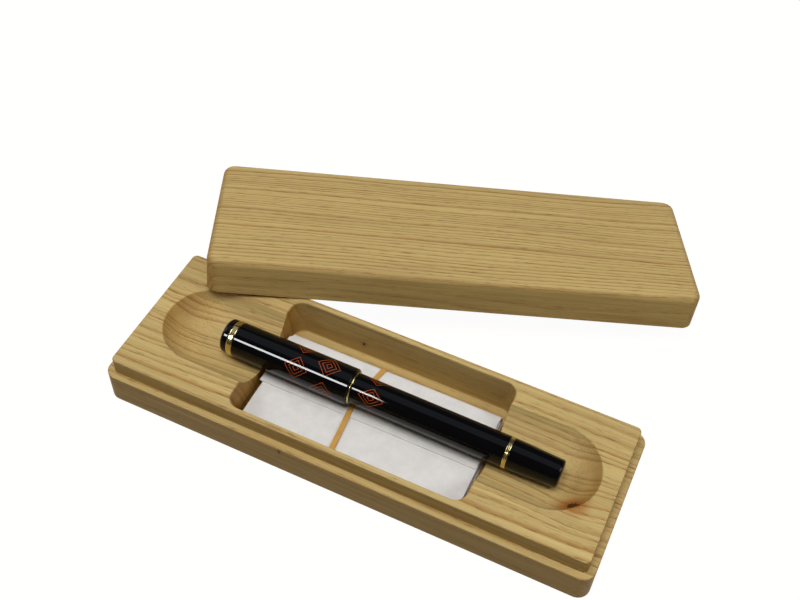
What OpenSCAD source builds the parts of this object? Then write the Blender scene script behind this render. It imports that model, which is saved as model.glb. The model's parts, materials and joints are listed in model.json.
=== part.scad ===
// Fountain pen case: a wooden tray and its lid, with the pen and the papers that the tray holds.
// Millimetres. The origin is the middle of the tray's underside: +X runs along the tray towards the
// tail of the pen, +Y to the back and +Z up. The lid leans on the back of the open tray.

/* [Tray] */
// Height of the ledge that the rim of the closed lid stands on
ledge_h = 14.4; // [13:0.1:18]
// Height of the lip above the ledge
lip_h = 7.05; // [6:0.05:9]
// Width of the ledge around the lip
ledge_w = 2.85; // [2:0.05:4]
// Radius of the upright corners of tray and lid
corner_r = 5; // [4:0.5:8]
// Radius that the outer edges of the tray and the lid's rim are eased to
edge_r = 0.5; // [0.3:0.1:1]
// Radius that the rims of the pocket and the groove are eased to
rim_r = 0.7; // [0.3:0.1:1.2]
// Wood left between the end of the pen's groove and the end of the tray
end_wall = 9.7; // [7:0.1:15]

/* [Pocket] */
// Length of the pocket for the papers
pocket_len = 96.4; // [85:0.2:105]
// Width of the pocket
pocket_wid = 56; // [50:0.5:70]
// Radius of the pocket's upright corners
pocket_r = 5; // [3:0.5:8]
// Radius of the cove around the pocket's floor
cove_r = 0.8; // [0.3:0.1:1]
// Wood left between the pocket and the outside of the lip
pocket_wall = 2.6; // [2:0.1:5]
// Wood left under the pocket
pocket_floor = 2.8; // [2.4:0.1:4]
// How far the middle of the pocket lies right of the middle of the tray
pocket_shift = 0.6; // [-2:0.1:2]

/* [Groove] */
// Radius of the round cutter that the pen's groove is milled with
groove_r = 21; // [18:0.5:25]
// Depth of the groove under the top of the lip
groove_depth = 10.95; // [9:0.05:12]
// How far the middle of the groove lies behind the middle of the tray
groove_shift = 0.9; // [-2:0.1:2]
// Room in the groove beyond the crown of the pen
crown_room = 25; // [20:0.5:30]
// Room in the groove beyond the tail of the pen
tail_room = 14.1; // [12:0.1:20]

/* [Lid] */
// Thickness of the lid
lid_t = 16.7; // [15.5:0.1:20]
// Radius of the lid's top edges
lid_edge_r = 3; // [2:0.5:5]
// Gap between the lip and the recess in the lid
lid_gap = 0.25; // [0.1:0.05:0.5]
// Gap above the pen under the closed lid
lid_pen_gap = 0.9; // [0.5:0.1:1.5]
// How far behind the lip's edge the middle of the leaning lid lies, along its slope
lid_reach = 54.4; // [45:0.2:60]
// How far left of the tray's middle the middle of the leaning lid lies
lid_shift = 3.8; // [0:0.05:8]
// Turn of the leaning lid about the upright
lid_turn = 24.6; // [20:0.2:28]

/* [Papers] */
// Room in the pocket at each end of the papers
papers_end_room = 2.2; // [1:0.1:4]
// Room in the pocket in front of the papers, where the band runs down
papers_front_room = 1.2; // [1:0.1:3]
// Room in the pocket behind the papers
papers_back_room = 7.3; // [4.5:0.1:9]
// Gap between the papers and the pen above them
papers_pen_gap = 0.7; // [0.6:0.05:2]
// Radius of the sleeve's folds
fold_r = 1.9; // [1:0.1:2.2]
// Thickness of the sleeve's paper
sleeve_t = 0.35; // [0.2:0.05:0.5]
// How far the sleeve's flap reaches past the middle of the papers, to the front
flap_reach = 3; // [0:0.5:10]
// How far the folded sheets stay back from the ends of the sleeve
sheet_inset = 0.8; // [0.3:0.1:3]
// Width of the elastic band
band_w = 1.8; // [1:0.1:4]
// Thickness of the elastic band
band_t = 0.5; // [0.4:0.05:0.6]
// Where the band crosses the papers, left of their middle
band_shift = 7; // [0:0.1:20]
// Turn of the band about the upright
band_turn = 3; // [0:0.5:8]

/* [Pen outside] */
// Length of the crown at the top of the cap
crown_len = 3.4; // [3:0.1:6]
// Radius of the crown
crown_r = 6.95; // [6:0.05:7.2]
// Radius of the shallow dome on the crown
crown_dome_r = 40; // [25:1:80]
// Width of the ring that holds the clip
clip_ring_w = 2.7; // [2.2:0.1:4]
// How far the clip ring stands proud of the cap
clip_ring_proud = 0.12; // [0.05:0.01:0.3]
// Length of the whole cap, crown and ring included
cap_len = 56.2; // [52:0.1:60]
// Radius of the cap at the clip ring
cap_r = 7.15; // [6.9:0.05:7.5]
// Radius of the cap near its mouth
cap_mouth_r = 7.4; // [7.2:0.05:7.8]
// Radius of the rolled edge of the cap's mouth
cap_lip_r = 1.2; // [0.8:0.1:1.4]
// Width of the thin ring in front of the barrel
front_ring_w = 0.9; // [0.6:0.1:1.5]
// How far that ring stands proud of the barrel
front_ring_proud = 0.5; // [0.2:0.05:0.7]
// Length of the barrel from the thin ring to the tail ring
barrel_len = 62.7; // [60:0.1:70]
// Radius of the barrel
barrel_r = 6.15; // [6:0.05:6.4]
// Width of the tail ring
tail_ring_w = 1.6; // [1:0.1:3]
// How far the tail ring stands proud of the barrel
tail_ring_proud = 0.12; // [0.05:0.01:0.3]
// Width of the line turned into the middle of the tail ring
ring_line = 0.25; // [0.15:0.05:0.4]
// Length of the tail behind its ring
tail_len = 20.1; // [16:0.1:26]
// Radius of the tail at its ring
tail_r = 6.08; // [5.9:0.02:6.2]
// Radius of the tail at its end
tail_end_r = 5.45; // [5:0.05:6]
// Radius that the ends of crown and tail are rounded to
end_round_r = 1.2; // [0.8:0.1:1.6]

/* [Clip] */
// Thickness of the clip
clip_t = 0.9; // [0.6:0.05:1.1]
// Width of the clip at the ring
clip_w = 3.4; // [2.8:0.1:3.8]
// Width of the clip at its ball
clip_tip_w = 2.2; // [1.8:0.1:2.6]
// How far the clip reaches along the cap from the crown's end
clip_reach = 43; // [35:0.5:46]
// Height of the clip's outside above the cap
clip_rise = 1.8; // [1.6:0.05:1.95]
// Radius of the ball at the clip's end
clip_ball_r = 1; // [0.8:0.05:1.1]
// Angle of the clip below the level, towards the back of the tray
clip_angle = 22; // [16:1:24]

/* [Pen inside the cap] */
// Radius of the barrel's threaded neck
neck_r = 5.85; // [5.6:0.05:5.9]
// Length of the barrel's threaded neck inside the cap
neck_len = 7; // [5:0.5:9]
// Length of the grip section in front of the neck
section_len = 17.9; // [15:0.1:20]
// Radius of the section at the neck
section_r = 5.35; // [5.2:0.05:5.5]
// Radius of the section at its front lip
section_lip_r = 5.05; // [4.9:0.05:5.1]
// Radius of the section's waist, where fingers hold it
section_waist_r = 4.7; // [4.5:0.05:4.9]
// Width of the ring at the front of the section
section_ring_w = 0.8; // [0.5:0.1:1.2]
// Length of the nib that shows
nib_len = 19; // [16:0.5:20]
// Radius that the nib is rolled to
nib_r = 3.9; // [3.6:0.05:4]
// Thickness of the nib
nib_t = 0.45; // [0.3:0.05:0.6]
// Radius of the breather hole
breather_r = 0.7; // [0.4:0.05:1]
// Width of the nib's slit
slit_w = 0.15; // [0.1:0.01:0.25]
// Radius of the hard point at the nib's tip
point_r = 0.5; // [0.35:0.05:0.6]
// Number of fins on the feed
fins = 11; // [4:1:14]
// Wall of the inner cap that seals round the nib
inner_cap_t = 0.8; // [0.5:0.05:0.9]

/* [Ink converter] */
// Radius of the barrel's bore
bore_r = 4.75; // [4.6:0.05:4.9]
// Length of the section's tenon in the barrel
tenon_len = 12; // [9:0.5:15]
// Radius of the converter
converter_r = 3.75; // [3.5:0.05:3.8]
// Wall of the converter's clear tube
tube_t = 0.7; // [0.5:0.05:1]
// Length of the nozzle piece
nozzle_len = 13; // [12:0.5:15]
// Length of the clear tube
tube_len = 33; // [30:0.5:34]
// Length of the metal band behind the tube
converter_band_len = 12; // [9:0.5:13]
// Length of the turning knob
knob_len = 14; // [11:0.5:14.5]
// Radius of the turning knob
knob_r = 3.6; // [3.2:0.05:3.8]
// Number of flutes round the knob
flutes = 16; // [8:2:24]
// Radius of the piston's rod
rod_r = 1.6; // [1.2:0.05:1.8]
// Travel of the piston
piston_travel = 23; // [15:0.5:23]

/* [Gaps] */
// Gap between two pieces where one rests on the other
seat_gap = 0.15; // [0.1:0.01:0.3]
// Radial gap of pieces that run or screw in each other
run_gap = 0.05; // [0.03:0.01:0.1]
// Gap between pieces that are fastened to each other
joint_gap = 0.02; // [0.01:0.01:0.05]

/* [Hidden] */
$fn = 96;
over = 1;                     // how far a cut runs past the face that it opens

// Places along the pen, from the end of the crown
ring_at = crown_len;
tube_at = ring_at + clip_ring_w;
mouth_at = cap_len;
barrel_at = mouth_at + front_ring_w;
tail_ring_at = barrel_at + barrel_len;
tail_at = tail_ring_at + tail_ring_w;
pen_len = tail_at + tail_len;
neck_at = mouth_at - neck_len;
section_at = neck_at - section_len;
section_ring_at = section_at - section_ring_w;
nib_tip_at = section_ring_at - nib_len;
cap_end_wall = 2.4;
cap_floor_at = tube_at + cap_end_wall;

// The tray is cut to the pen and the papers
groove_len = crown_room + pen_len + tail_room;
case_len = groove_len + 2 * end_wall;
lip_len = case_len - 2 * ledge_w;
lip_wid = pocket_wid + 2 * pocket_wall;
case_wid = lip_wid + 2 * ledge_w;
lip_r = corner_r - ledge_w;
lip_top = ledge_h + lip_h;
groove_bottom = lip_top - groove_depth;
groove_axis_z = groove_bottom + groove_r;
groove_half_wid = sqrt(pow(groove_r, 2) - pow(groove_r - groove_depth, 2));
groove_straight = groove_len - 2 * groove_half_wid;

// The pen lies in the groove on its cap, where the groove ends at the pocket, and on its tail ring
cap_roll = 1.2;
tail_roll = 0.6;
crown_x = -groove_len / 2 + crown_room;
function cap_r_at(place) = cap_r + (cap_mouth_r - cap_r) * (place - tube_at) / (mouth_at - tube_at);
clip_ring_r = cap_r + clip_ring_proud;
tail_ring_r = barrel_r + tail_ring_proud;
cap_seat_at = pocket_shift - pocket_len / 2 - crown_x;
tail_seat_at = tail_ring_at + tail_ring_w / 2;
seat_span = tail_seat_at - cap_seat_at;
function lying_z(r, roll) = groove_axis_z - sqrt(pow(groove_r - r - seat_gap, 2) - pow(roll, 2));
cap_seat_z = lying_z(cap_r_at(cap_seat_at), cap_roll);
tail_seat_z = lying_z(tail_ring_r, tail_roll);
pen_pitch = asin((cap_seat_z - tail_seat_z) / seat_span);
pen_yaw = asin((tail_roll - cap_roll) / seat_span);
crown_z = cap_seat_z + cap_seat_at * sin(pen_pitch);
mouth_z = crown_z - mouth_at * sin(pen_pitch);

// The papers fill the pocket up to the pen and lie against its front wall
band_gap = 0.05;
papers_top = mouth_z - cap_mouth_r - papers_pen_gap;
papers_bottom = pocket_floor + seat_gap + band_t + band_gap;
papers_h = papers_top - papers_bottom;
papers_len = pocket_len - 2 * papers_end_room;
papers_front = -pocket_wid / 2 + papers_front_room;
papers_back = pocket_wid / 2 - papers_back_room;
papers_wid = papers_back - papers_front;
papers_y = (papers_front + papers_back) / 2;
stack_r = fold_r - sleeve_t;

// The lid leans on the rounded back edge of the lip, and its far corner stands on the floor
recess_h = lip_h + lid_gap;
channel_h = crown_z + clip_ring_r + lid_pen_gap - ledge_h;
lean_y = lip_wid / 2 - edge_r;
lean_z = lip_top - edge_r;
lean_stand = edge_r + seat_gap;
far_corner = (case_len / 2 - corner_r) * sin(lid_turn) + (case_wid / 2 - corner_r) * cos(lid_turn) + corner_r;
lean_arm = lid_reach + far_corner - edge_r;
lean_off = lean_stand + edge_r;
lean_drop = lean_z - edge_r - seat_gap;
lid_tilt = asin(lean_drop / norm([lean_arm, lean_off])) + atan2(lean_off, lean_arm);

// Fits inside the pen
cap_bore_r = neck_r + run_gap;
stud_r = 2.6;
washer_r = 5.9;
washer_t = 0.7;
tenon_r = bore_r - run_gap;
nib_bore_r = nib_r + run_gap;
feed_r = nib_r - nib_t - joint_gap;
socket_r = converter_r + joint_gap;
nozzle_at = neck_at + 2;
glass_at = nozzle_at + nozzle_len;
converter_band_at = glass_at + tube_len;
knob_at = converter_band_at + converter_band_len + 2 * joint_gap;
knob_end_at = knob_at + knob_len;
glass_bore_r = converter_r - tube_t;
knob_neck_r = rod_r + 0.8;
head_len = 5;
head_at = glass_at + 2;
rod_at = head_at + head_len;
rod_end_at = knob_end_at - 1.2 - piston_travel;

wood = [0.80, 0.66, 0.42];
paper = [0.90, 0.89, 0.87];
lacquer = [0.04, 0.04, 0.05];
gold = [0.85, 0.72, 0.36];
steel = [0.75, 0.75, 0.76];
clear = [0.85, 0.90, 0.92, 0.4];

// ---- Outlines ----

// What is cut off a square corner, at the origin, to leave it rounded
module round_off(r) {
    difference() {
        square(r + over);
        circle(r);
    }
}

// A rectangle with round corners
module round_rect(l, w, r) {
    square([l - 2 * r, w], center = true);
    square([l, w - 2 * r], center = true);
    for (x = [-1, 1], y = [-1, 1])
        translate([x * (l / 2 - r), y * (w / 2 - r)]) circle(r);
}

// The outer r millimetres of a board's section, with a rounded foot and a rounded top
module board_edge(r, h, foot_r, top_r) {
    difference() {
        square([r, h]);
        translate([r - top_r, h - top_r]) round_off(top_r);
        translate([r - foot_r, foot_r]) mirror([0, 1]) round_off(foot_r);
    }
}

// ---- Solids that repeat ----

// Takes a section round a board, whose upright corners have the radius r. The section's x runs outwards
// from the axis of a corner, and its y is the height
module around(l, w, r) {
    flat_l = l - 2 * r;
    flat_w = w - 2 * r;
    for (side = [0, 1]) rotate(180 * side) {
        translate([-flat_l / 2, flat_w / 2, 0])
            rotate([90, 0, 90]) linear_extrude(flat_l) children();
        translate([flat_l / 2, flat_w / 2, 0])
            rotate([90, 0, 0]) linear_extrude(flat_w) children();
        translate([flat_l / 2, flat_w / 2, 0])
            rotate_extrude(angle = 90) children();
        translate([flat_l / 2, -flat_w / 2, 0])
            rotate(-90) rotate_extrude(angle = 90) children();
    }
}

// A board with round upright corners, a rounded foot and a rounded top
module board(l, w, r, h, foot_r, top_r) {
    translate([r - l / 2, r - w / 2, 0]) cube([l - 2 * r, w - 2 * r, h]);
    around(l, w, r) board_edge(r, h, foot_r, top_r);
}

// What the round cutter removes along X: a cylinder with a ball at each end
module cutter_path(axis_z) {
    translate([0, groove_shift, axis_z]) {
        rotate([0, 90, 0]) cylinder(r = groove_r, h = groove_straight, center = true);
        for (x = [-1, 1]) translate([x * groove_straight / 2, 0, 0]) sphere(groove_r);
    }
}

// What eases the rim of the round cutter's path, in a top face at the height 0 below the cutter's axis
module rim_ease(axis_h) {
    centre_x = sqrt(pow(groove_r + rim_r, 2) - pow(axis_h + rim_r, 2));
    share = groove_r / (groove_r + rim_r);
    touch = [centre_x * share, axis_h - (axis_h + rim_r) * share];
    difference() {
        polygon([[centre_x, over], [centre_x, -rim_r], touch, [touch[0] - over, touch[1]],
                 [touch[0] - over, over]]);
        translate([centre_x, -rim_r]) circle(rim_r);
    }
}

module groove_rim(top) {
    translate([0, groove_shift, top]) for (side = [0, 1]) rotate(180 * side) {
        rotate([90, 0, 90]) linear_extrude(groove_straight, center = true) rim_ease(groove_r - groove_depth);
        translate([groove_straight / 2, 0, 0])
            rotate(-90) rotate_extrude(angle = 180) rim_ease(groove_r - groove_depth);
    }
}

// A shape turned on the pen's axis: its outline's x is the radius, and its y is the place along the pen
module turned() {
    rotate([0, 90, 0]) rotate_extrude() children();
}

// The outline of a plain ring or tube for turned()
module wall(inner, outer, from, to) {
    translate([inner, from]) square([outer - inner, to - from]);
}

// A trim ring with a slightly rounded outside
module trim_ring(inner, outer, from, to) {
    soft = (to - from) / 4;
    turned() difference() {
        wall(inner, outer, from, to);
        translate([outer - soft, to - soft]) round_off(soft);
        translate([outer - soft, from + soft]) mirror([0, 1]) round_off(soft);
    }
}

// Puts a piece of the pen, built along X from the end of the crown, where the pen lies in the groove
module in_groove() {
    translate([crown_x + cap_seat_at, groove_shift + cap_roll, cap_seat_z])
        rotate([0, pen_pitch, pen_yaw])
            translate([-cap_seat_at, 0, 0]) children();
}

// A bar with the section of the folded papers, along X
module folded_bar(l, w, h, r) {
    rotate([90, 0, 90]) linear_extrude(l, center = true) round_rect(w, h, r);
}

// Puts the papers' pieces in the pocket, from their own middle
module in_pocket() {
    translate([pocket_shift, papers_y, (papers_top + papers_bottom) / 2]) children();
}

// ---- Case ----

module tray() color(wood) {
    difference() {
        union() {
            board(case_len, case_wid, corner_r, ledge_h, edge_r, edge_r);
            translate([0, 0, pocket_floor])
                board(lip_len, lip_wid, lip_r, lip_top - pocket_floor, 0, edge_r);
        }
        translate([pocket_shift, 0, pocket_floor])
            board(pocket_len, pocket_wid, pocket_r, lip_top, cove_r, 0);
        translate([pocket_shift, 0, 0]) around(pocket_len, pocket_wid, pocket_r)
            translate([pocket_r, lip_top]) difference() {
                translate([-over, -rim_r]) square([over + rim_r, rim_r + over]);
                translate([rim_r, -rim_r]) circle(rim_r);
            }
        groove_rim(lip_top);
        cutter_path(groove_axis_z);
    }
}

// The lid, rim down, from the middle of the plane that its rim stands on
module closed_lid() {
    difference() {
        board(case_len, case_wid, corner_r, lid_t, edge_r, lid_edge_r);
        translate([0, 0, -over]) linear_extrude(recess_h + over)
            round_rect(lip_len + 2 * lid_gap, lip_wid + 2 * lid_gap, lip_r + lid_gap);
        cutter_path(channel_h - groove_r);
    }
}

module lid() color(wood) {
    translate([-lid_shift, lean_y, lean_z])
        rotate([-lid_tilt, 0, 0])
            translate([0, lid_reach, lean_stand])
                rotate([0, 0, lid_turn]) closed_lid();
}

// ---- Papers ----

// A sleeve folded round the sheets, with its last turn ending as a flap on top
module paper_wrapper() color(paper) in_pocket() {
    flap_wid = papers_wid / 2 - fold_r + flap_reach;
    rotate([90, 0, 90]) linear_extrude(papers_len, center = true) {
        translate([0, -sleeve_t / 2]) difference() {
            round_rect(papers_wid, papers_h - sleeve_t, fold_r);
            round_rect(papers_wid - 2 * sleeve_t, papers_h - 3 * sleeve_t, stack_r);
        }
        translate([-flap_reach, papers_h / 2 - 1.5 * sleeve_t]) square([flap_wid, 1.5 * sleeve_t]);
    }
}

module folded_leaflet() color(paper) in_pocket()
    translate([0, 0, -sleeve_t / 2])
        folded_bar(papers_len - 2 * sheet_inset, papers_wid - 2 * (sleeve_t + band_gap),
                   papers_h - 3 * sleeve_t - 2 * band_gap, stack_r - band_gap);

module elastic_band() color([0.80, 0.60, 0.25]) in_pocket() {
    inner_wid = papers_wid / cos(band_turn) + band_w * tan(band_turn) + 2 * band_gap;
    inner_h = papers_h + 2 * band_gap;
    translate([-band_shift, 0, 0]) rotate(-band_turn) difference() {
        folded_bar(band_w, inner_wid + 2 * band_t, inner_h + 2 * band_t, fold_r + band_t);
        folded_bar(band_w + 2 * over, inner_wid, inner_h, fold_r);
    }
}

// ---- Cap ----

module cap_tube() color(lacquer) in_groove() turned() {
    difference() {
        polygon([[cap_bore_r, tube_at + joint_gap], [cap_r, tube_at + joint_gap],
                 [cap_mouth_r, mouth_at], [cap_bore_r, mouth_at]]);
        translate([cap_mouth_r - cap_lip_r, mouth_at - cap_lip_r]) round_off(cap_lip_r);
    }
    wall(stud_r + joint_gap, cap_bore_r, tube_at + joint_gap, cap_floor_at);
}

// The crown, with the stud that screws through the clip's washer into the cap
module cap_crown() color(lacquer) in_groove() turned() {
    intersection() {
        difference() {
            wall(0, crown_r, 0, ring_at - joint_gap);
            translate([crown_r - end_round_r, end_round_r]) mirror([0, 1]) round_off(end_round_r);
        }
        translate([0, crown_dome_r]) circle(crown_dome_r, $fn = 400);
    }
    wall(0, stud_r, ring_at - joint_gap, cap_floor_at);
}

// The ring between crown and cap, recessed behind for the clip's washer and notched for its neck
module clip_ring() color(gold) in_groove() difference() {
    trim_ring(stud_r + joint_gap, clip_ring_r, ring_at, tube_at);
    turned() wall(0, washer_r + joint_gap, tube_at - washer_t - joint_gap, tube_at + over);
    rotate([-clip_angle, 0, 0])
        translate([tube_at - clip_t - joint_gap, 0, -clip_w / 2 - joint_gap])
            cube([clip_t + over, clip_ring_r + over, clip_w + 2 * joint_gap]);
}

// The clip: a washer on the crown's stud, a neck out through the ring, a bend, a strap and a ball
module clip() color(gold) in_groove() {
    strap_top = clip_ring_r + clip_rise;
    bend_at = tube_at - clip_t + clip_rise;
    ball_r = cap_r_at(clip_reach) + seat_gap + clip_ball_r;
    turned() wall(stud_r + joint_gap, washer_r, tube_at - washer_t, tube_at);
    rotate([-clip_angle, 0, 0]) {
        intersection() {
            linear_extrude(clip_w, center = true) {
                translate([tube_at - clip_t, washer_r - washer_t])
                    square([clip_t, clip_ring_r - washer_r + washer_t]);
                intersection() {
                    translate([bend_at, clip_ring_r]) difference() {
                        circle(clip_rise);
                        circle(clip_rise - clip_t);
                    }
                    translate([bend_at - clip_rise, clip_ring_r]) square(clip_rise);
                }
                polygon([[bend_at, strap_top - clip_t], [bend_at, strap_top],
                         [clip_reach, ball_r + clip_t / 2], [clip_reach, ball_r - clip_t / 2]]);
            }
            rotate([-90, 0, 0]) linear_extrude(strap_top + over)
                polygon([[0, -clip_w / 2], [bend_at, -clip_w / 2], [clip_reach, -clip_tip_w / 2],
                         [clip_reach, clip_tip_w / 2], [bend_at, clip_w / 2], [0, clip_w / 2]]);
        }
        translate([clip_reach, ball_r, 0]) sphere(clip_ball_r);
    }
}

module inner_cap() color(lacquer) in_groove() turned()
    wall(cap_bore_r - joint_gap - inner_cap_t, cap_bore_r - joint_gap,
         cap_floor_at + joint_gap, section_ring_at - seat_gap);

// ---- Barrel ----

module barrel() color(lacquer) in_groove() turned() {
    wall(bore_r, barrel_r, barrel_at, tail_ring_at);
    wall(bore_r, neck_r, neck_at, barrel_at);
}

module barrel_front_ring() color(gold) in_groove()
    trim_ring(neck_r + joint_gap, barrel_r + front_ring_proud, mouth_at + joint_gap, barrel_at - joint_gap);

module tail_ring() color(gold) in_groove() difference() {
    trim_ring(bore_r, tail_ring_r, tail_ring_at + joint_gap, tail_at - joint_gap);
    turned() wall(tail_ring_r - ring_line / 2, tail_ring_r + over,
                  tail_ring_at + (tail_ring_w - ring_line) / 2, tail_ring_at + (tail_ring_w + ring_line) / 2);
}

// The tail, hollow at the front for the converter's knob, with a tenon in the barrel
module barrel_tail() color(lacquer) in_groove() turned() difference() {
    union() {
        polygon([[0, tail_at], [tail_r, tail_at], [tail_end_r, pen_len], [0, pen_len]]);
        wall(0, bore_r - joint_gap, tail_ring_at - 6, tail_at);
    }
    translate([tail_end_r - end_round_r, pen_len - end_round_r]) round_off(end_round_r);
    wall(-over, knob_r + 0.5, tail_ring_at - 6 - over, knob_end_at + 2.5);
}

// ---- Writing end ----

// The grip section: a waisted outside, a tenon behind, and bores for the nib and the converter
module section() color(lacquer) in_groove() turned() difference() {
    waist_arc_r = 60;
    union() {
        difference() {
            polygon([[0, section_at], [section_lip_r, section_at], [section_r, neck_at - joint_gap],
                     [0, neck_at - joint_gap]]);
            translate([section_waist_r + waist_arc_r, section_at + 0.42 * section_len])
                circle(waist_arc_r, $fn = 600);
        }
        wall(0, tenon_r, neck_at - joint_gap, neck_at + tenon_len);
    }
    wall(-over, nib_bore_r, section_at - over, neck_at - 4);
    wall(-over, 1.2, neck_at - 4 - over, nozzle_at);
    wall(-over, socket_r, nozzle_at - joint_gap, neck_at + tenon_len + over);
}

module section_ring() color(gold) in_groove()
    trim_ring(nib_bore_r, section_lip_r, section_ring_at, section_at - joint_gap);

// The nib: a rolled sheet cut to an outline, with a breather hole, a slit and a hard point
module nib() color(gold) in_groove() {
    root_at = section_at + 9;
    shoulder_at = section_ring_at - 0.45 * nib_len;
    steps = 12;
    side = [for (i = [0:steps]) [nib_tip_at + (shoulder_at - nib_tip_at) * i / steps,
                                 0.8 * point_r + (nib_r - point_r) * pow(i / steps, 0.85)]];
    half = concat(side, [[root_at, nib_r + over], [root_at, 0], [nib_tip_at, 0]]);
    difference() {
        intersection() {
            turned() wall(nib_r - nib_t, nib_r, nib_tip_at, root_at);
            linear_extrude(nib_r + over) for (side = [0, 1]) mirror([0, side]) polygon(half);
        }
        translate([shoulder_at, 0, 0]) cylinder(r = breather_r, h = nib_r + over);
        translate([nib_tip_at - over, -slit_w / 2, 0]) cube([shoulder_at - nib_tip_at + over, slit_w, nib_r + over]);
    }
    translate([nib_tip_at, 0, nib_r - point_r]) sphere(point_r);
}

// The feed: a finned comb under the nib, cut to a slope in front
module feed() color(lacquer) in_groove() {
    front_at = nib_tip_at + 5;
    root_at = section_at + 9;
    fin_pitch = 1.1;
    fin_gap = 0.45;
    difference() {
        turned() wall(0, feed_r, front_at, root_at);
        translate([front_at, 0, 0.4 * feed_r]) rotate([0, 24, 0])
            translate([-2 * feed_r, -2 * feed_r, -4 * feed_r]) cube([8 * feed_r, 4 * feed_r, 4 * feed_r]);
        for (i = [0:fins - 1])
            translate([section_ring_at - 2 - i * fin_pitch, -2 * feed_r, -2 * feed_r])
                cube([fin_gap, 4 * feed_r, 2 * feed_r - 0.6]);
    }
}

// ---- Ink converter ----

module converter_nozzle() color(lacquer) in_groove() turned()
    wall(1.2, converter_r, nozzle_at, glass_at - joint_gap);

module converter_tube() color(clear) in_groove() turned()
    wall(glass_bore_r, converter_r, glass_at, converter_band_at - joint_gap);

// The metal band: a sleeve with a collar that the knob's neck turns in
module converter_band() color(steel) in_groove() turned()
    wall(knob_neck_r + run_gap, converter_r + 0.15, converter_band_at, knob_at - 2 * joint_gap);

// The knob: a fluted grip and a neck, bored for the piston's rod
module converter_knob() color(lacquer) in_groove() difference() {
    union() {
        turned() {
            wall(rod_r + run_gap, knob_r, knob_at, knob_end_at);
            wall(rod_r + run_gap, knob_neck_r, converter_band_at + 1, knob_at);
        }
        turned() wall(0, knob_r, knob_end_at - 1, knob_end_at);
    }
    for (i = [0:flutes - 1]) rotate([360 * i / flutes, 0, 0])
        translate([knob_at + 1.5, 0, knob_r + 0.25]) rotate([0, 90, 0])
            cylinder(r = 0.5, h = knob_len, $fn = 24);
}

module piston_rod() color(steel) in_groove() turned()
    wall(0, rod_r, rod_at, rod_end_at);

module piston_head() color(lacquer) in_groove() turned() {
    wall(0, glass_bore_r - 0.5, head_at, rod_at - joint_gap);
}

// Two lips that wipe the tube
module piston_seal() color([0.3, 0.3, 0.3]) in_groove() turned()
    for (at = [0.5, head_len - 1.7])
        wall(glass_bore_r - 0.5 + joint_gap, glass_bore_r - run_gap, head_at + at, head_at + at + 1.2);

tray();
lid();
paper_wrapper();
folded_leaflet();
elastic_band();
cap_tube();
cap_crown();
clip_ring();
clip();
inner_cap();
barrel();
barrel_front_ring();
tail_ring();
barrel_tail();
section();
section_ring();
nib();
feed();
converter_nozzle();
converter_tube();
converter_band();
converter_knob();
piston_rod();
piston_head();
piston_seal();
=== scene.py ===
import json
from math import cos, pi, radians, sin, sqrt, tan

import bmesh
import bpy
from bpy.props import FloatProperty, FloatVectorProperty, IntProperty, PointerProperty
from mathutils import Matrix, Vector


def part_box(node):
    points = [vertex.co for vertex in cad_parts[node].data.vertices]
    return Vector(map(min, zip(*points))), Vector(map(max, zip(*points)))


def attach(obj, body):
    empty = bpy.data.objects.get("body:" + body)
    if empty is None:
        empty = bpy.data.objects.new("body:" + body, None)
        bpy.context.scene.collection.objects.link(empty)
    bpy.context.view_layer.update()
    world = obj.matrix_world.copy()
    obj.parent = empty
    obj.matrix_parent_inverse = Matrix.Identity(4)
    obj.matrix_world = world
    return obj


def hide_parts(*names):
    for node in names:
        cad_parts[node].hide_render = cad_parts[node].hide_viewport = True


bl_info = {
    "name": "Fountain Pen Case",
    "version": (1, 0, 0),
    "blender": (4, 5, 0),
    "location": "3D View > Sidebar > Pen Case",
    "description": "Dresses a wooden pen case, its lid, its papers and the fountain pen in it",
    "category": "Object",
}

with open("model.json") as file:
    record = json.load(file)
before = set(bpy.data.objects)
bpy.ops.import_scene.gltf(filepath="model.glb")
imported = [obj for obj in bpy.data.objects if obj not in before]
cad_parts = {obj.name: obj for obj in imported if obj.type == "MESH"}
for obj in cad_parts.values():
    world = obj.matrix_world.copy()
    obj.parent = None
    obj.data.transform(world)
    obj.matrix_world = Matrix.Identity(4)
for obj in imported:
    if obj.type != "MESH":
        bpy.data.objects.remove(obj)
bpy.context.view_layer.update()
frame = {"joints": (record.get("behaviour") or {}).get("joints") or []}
MM = 0.001

# The leaning lid: the edge of the lip that it leans on, its tilt, the way along it to its middle, and its turn
LID_EDGE = Vector((-3.8, 30.1, 21.6)) * MM
LID_TILT = radians(9.928)
LID_REACH = 54.4 * MM
LID_TURN = radians(24.6)

# Knots in the tray, in millimetres: x, y, z, radius of the core, how far the rings part, and how far round it
TRAY_KNOTS = ((84.0, -9.8, 18.2, 1.7, 3.5, 8.0), (-17.35, 28.0, 9.4, 0.35, 0.5, 1.2),
              (-22.2, -33.45, 12.6, 0.35, 0.5, 1.2), (-92.0, 6.0, 10.0, 0.0, 7.0, 13.0))
# Where the pith of each board's tree lay, in front of the board and below it: (y, z) in its own millimetres
TRAY_PITH = (-95.0, -13.0)
LID_PITH = (-90.0, -10.0)

# Faces round a turned piece, and the middle of the barrel's front ring in millimetres from the crown's end
TURNED_SIDES = 112
FRONT_RING_AT = 56.65

# The camera: its place in metres, its turn in degrees and its lens in millimetres
CAMERA_PLACE = (0.099962, -0.215423, 0.363829)
CAMERA_TURN = (39.63639, -1.881235, 25.104389)
CAMERA_LENS = 49.423

# Which rays see a lamp: (diffuse, glossy). The tube is seen only in polished pieces, and the soft box only lights.
LIGHT_ONLY, GLOSS_ONLY, BOTH = (True, False), (False, True), (True, True)
WHITE = (1.0, 1.0, 1.0)
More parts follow.
